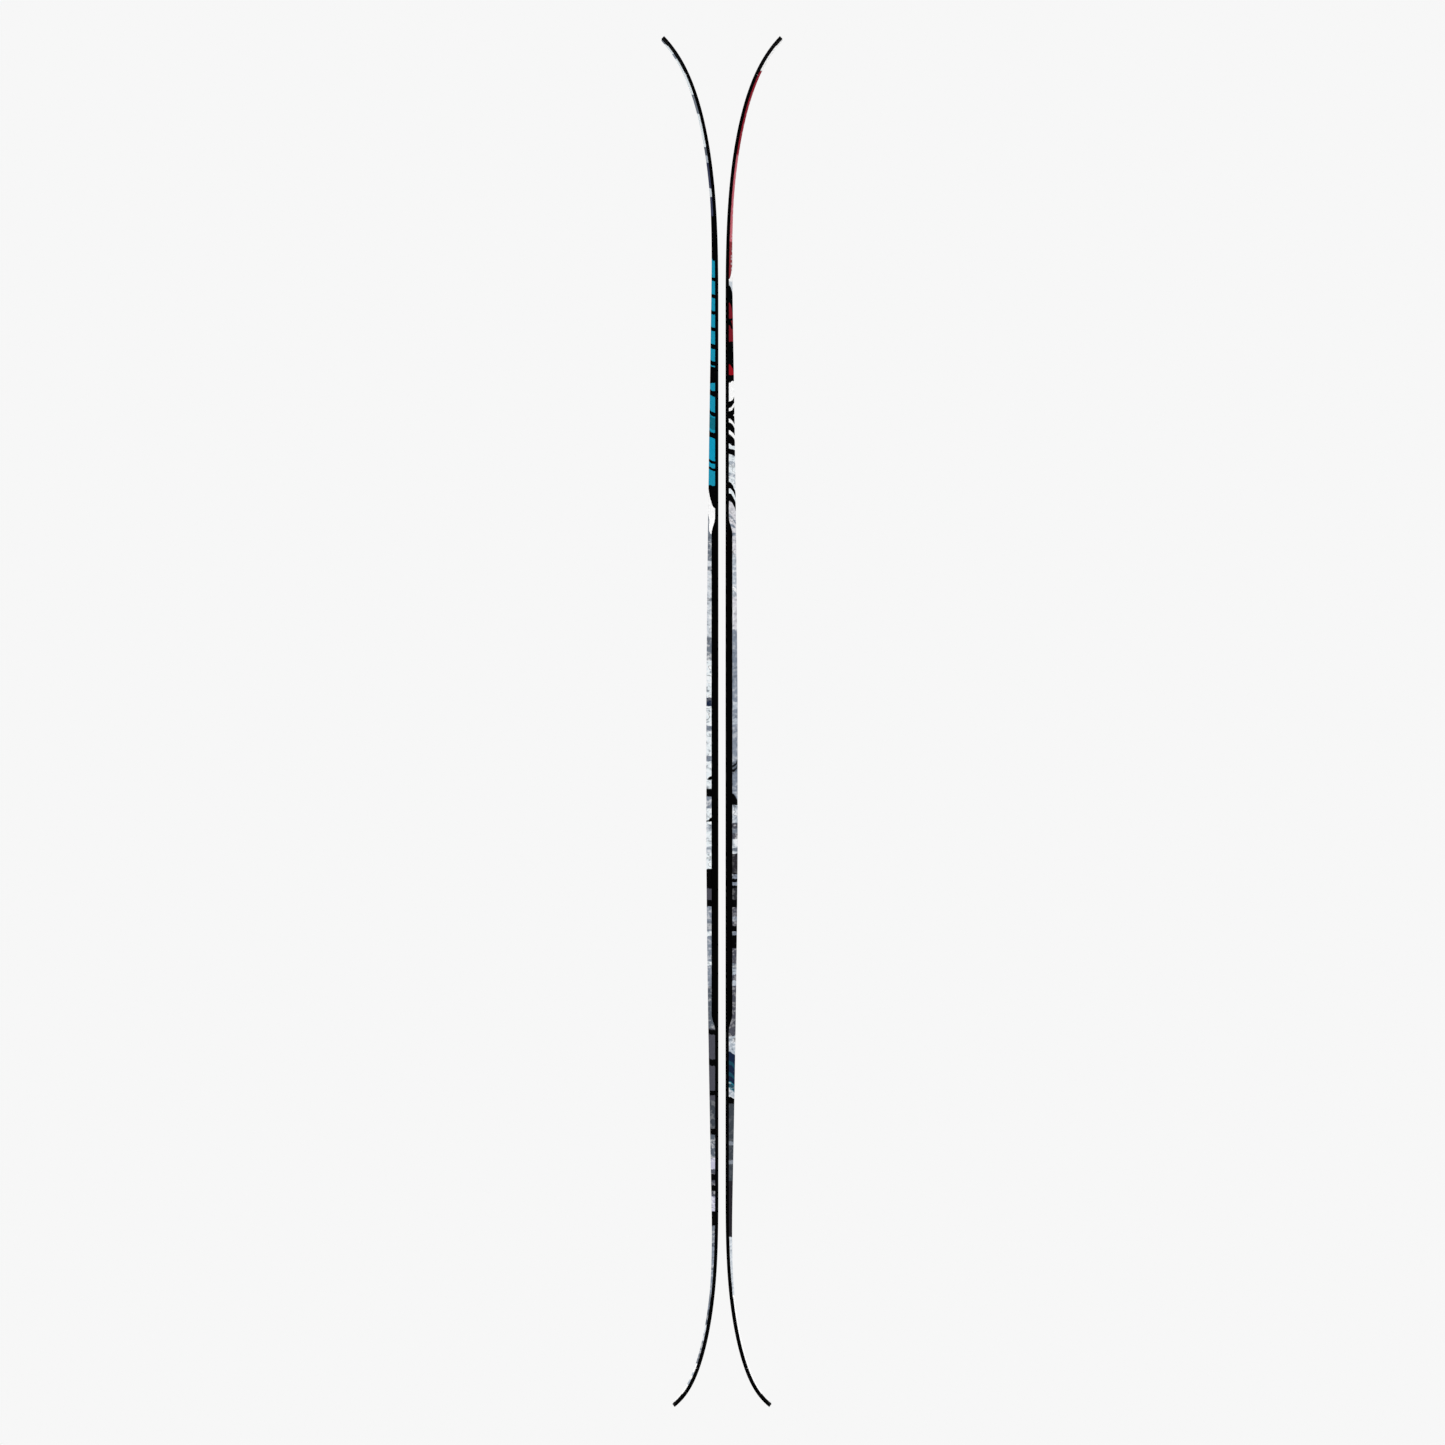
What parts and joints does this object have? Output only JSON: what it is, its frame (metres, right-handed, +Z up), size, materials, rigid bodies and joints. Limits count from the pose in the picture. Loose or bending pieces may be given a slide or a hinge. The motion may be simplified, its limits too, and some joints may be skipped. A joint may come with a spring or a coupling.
{
  "type": "pair of twin-tip alpine skis",
  "caption": "Pair of twin-tip freestyle skis held base to base, tips up, each a laminate of base, steel edges, wood core, sidewalls and printed cap.",
  "frame": {"origin": "midway between the two running bases, at the height where a rack's two pegs carry the splayed tips, 1.7 m above the tail ends", "axes": "+Z up along the skis towards the tips, +X from the left ski to the right ski, +Y across the skis' width, away from the viewer"},
  "size_m": [0.159, 0.126, 1.8],
  "materials": {
    "base_polyethylene": "black sintered base, stone ground and waxed",
    "edge_steel": "blackened hardened steel",
    "damping_rubber": "matt foil",
    "glass_laminate": "resin-filled glass-fibre cloth",
    "core_poplar": "planed, grain along the ski",
    "core_ash": "planed, grain along the ski",
    "black_plastic": "satin black ABS",
    "reinforcing_mat": "resin-filled stitched mat",
    "carbon_laminate": "carbon fibre tape, fibres along the ski",
    "left_print": "glossy abstract print in pale blue-grey, black, white and teal",
    "right_print": "glossy abstract print in grey, black, white and red"
  },
  "bodies": {
    "left_ski": {"left_base": "base_polyethylene", "left_front_edge": "edge_steel", "left_rear_edge": "edge_steel", "left_front_rubber": "damping_rubber", "left_rear_rubber": "damping_rubber", "left_lower_laminate": "glass_laminate", "left_core_strip_1": "core_ash", "left_core_strip_2": "core_poplar", "left_core_strip_3": "core_ash", "left_core_strip_4": "core_poplar", "left_core_strip_5": "core_ash", "left_core_strip_6": "core_poplar", "left_core_strip_7": "core_ash", "left_tip_spacer": "black_plastic", "left_tail_spacer": "black_plastic", "left_front_sidewall": "black_plastic", "left_rear_sidewall": "black_plastic", "left_binding_mat": "reinforcing_mat", "left_front_stringer": "carbon_laminate", "left_rear_stringer": "carbon_laminate", "left_upper_laminate": "glass_laminate", "left_topsheet": "left_print"},
    "right_ski": {"right_base": "base_polyethylene", "right_front_edge": "edge_steel", "right_rear_edge": "edge_steel", "right_front_rubber": "damping_rubber", "right_rear_rubber": "damping_rubber", "right_lower_laminate": "glass_laminate", "right_core_strip_1": "core_ash", "right_core_strip_2": "core_poplar", "right_core_strip_3": "core_ash", "right_core_strip_4": "core_poplar", "right_core_strip_5": "core_ash", "right_core_strip_6": "core_poplar", "right_core_strip_7": "core_ash", "right_tip_spacer": "black_plastic", "right_tail_spacer": "black_plastic", "right_front_sidewall": "black_plastic", "right_rear_sidewall": "black_plastic", "right_binding_mat": "reinforcing_mat", "right_front_stringer": "carbon_laminate", "right_rear_stringer": "carbon_laminate", "right_upper_laminate": "glass_laminate", "right_topsheet": "right_print"}
  },
  "joints": [
    {"name": "pair_separation", "type": "slide", "parent": "left_ski", "child": "right_ski", "axis": [1, 0, 0], "range_m": [-0.009, 0.25]}
  ]
}
